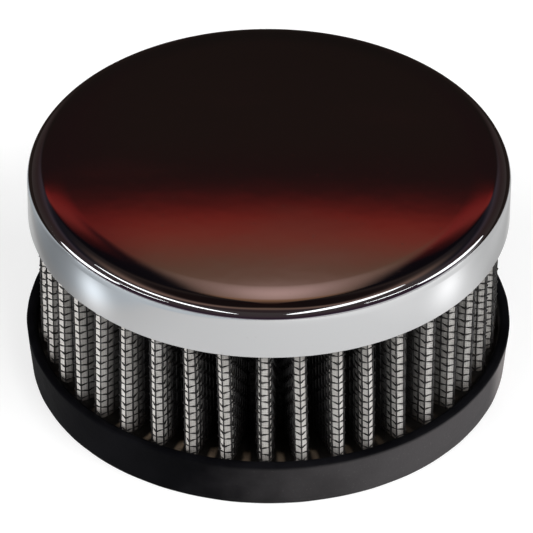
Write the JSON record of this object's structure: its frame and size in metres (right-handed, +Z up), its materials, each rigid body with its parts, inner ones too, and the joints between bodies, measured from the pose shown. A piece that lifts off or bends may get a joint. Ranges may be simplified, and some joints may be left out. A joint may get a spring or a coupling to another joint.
{
  "type": "crankcase breather filter",
  "caption": "Round slip-on crankcase breather filter: chrome cap, pleated gauze element in black woven wire, rubber base with an inner neck.",
  "frame": {"origin": "centre of the flat underside of the base", "axes": "+Z up along the filter's axis, -Y towards the front"},
  "size_m": [0.0762, 0.0762, 0.0381],
  "materials": {
    "cap_chrome": "polished chrome plate",
    "potting": "tan sealing compound, dull",
    "screen_wire": "black coated woven wire",
    "gauze": "light grey cotton gauze",
    "base_rubber": "satin black moulded rubber"
  },
  "bodies": {
    "root": {"top_cap": "cap_chrome", "top_potting": "potting", "outer_screen": "screen_wire", "pleated_gauze": "gauze", "inner_screen": "screen_wire", "base_potting": "potting", "base_moulding": "base_rubber"}
  },
  "joints": []
}
